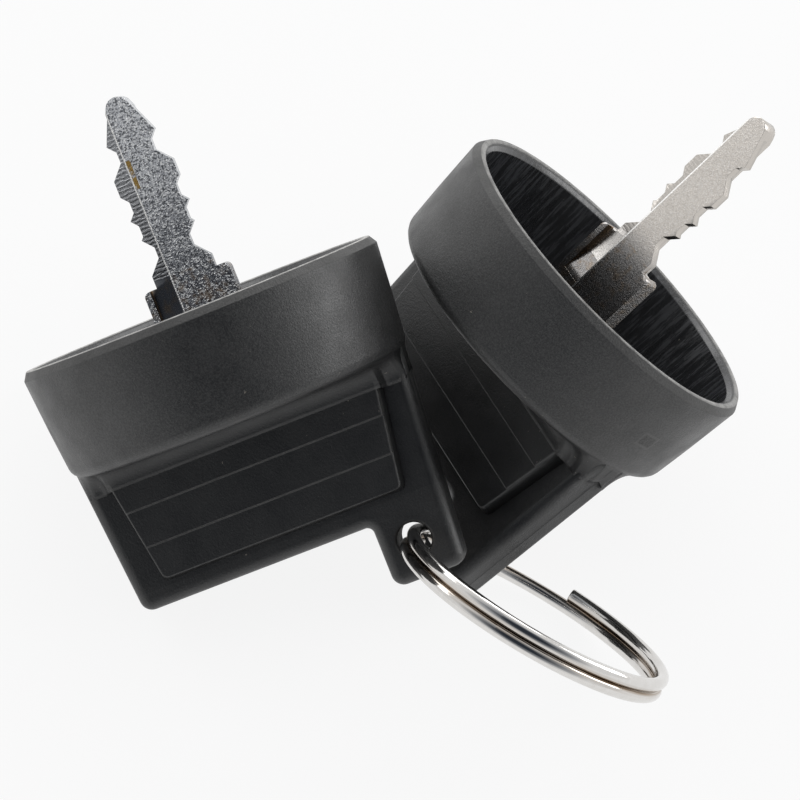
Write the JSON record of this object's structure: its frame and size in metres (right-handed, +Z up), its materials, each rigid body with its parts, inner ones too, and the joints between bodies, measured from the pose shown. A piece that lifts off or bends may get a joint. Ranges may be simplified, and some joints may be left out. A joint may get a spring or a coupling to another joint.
{
  "type": "key pair on split ring",
  "caption": "Pair of double-sided keys with moulded round cup heads, stepped grips and eye tabs, carried on a steel split ring.",
  "frame": {"origin": "middle of the base of the assembly's box, on the surface it lies on", "axes": "+Z up; +X along the assembly's longest extent, from the left key to the right key; +Y toward the blade tips, away from the split ring"},
  "size_m": [0.0734, 0.063, 0.0375],
  "materials": {
    "moulding": "black moulded plastic, satin outside and polished inside the cup",
    "blade_metal": "satin nickel plate",
    "ring_metal": "bright nickel-plated spring steel"
  },
  "bodies": {
    "ring": {"split_ring": "ring_metal"},
    "left_key": {"left_key_head": "moulding", "left_key_blade": "blade_metal"},
    "right_key": {"right_key_head": "moulding", "right_key_blade": "blade_metal"}
  },
  "joints": [
    {"name": "left_key_swing", "type": "hinge", "parent": "ring", "child": "left_key", "pos_m": [0.00332, -0.01181, 0.0123], "axis": [0.216, 0.5853, -0.7815], "range_deg": [-120, 2]},
    {"name": "right_key_swing", "type": "hinge", "parent": "ring", "child": "right_key", "pos_m": [0.00863, -0.00894, 0.00514], "axis": [0.6615, 0.1472, -0.7354], "range_deg": [-2, 50]}
  ]
}
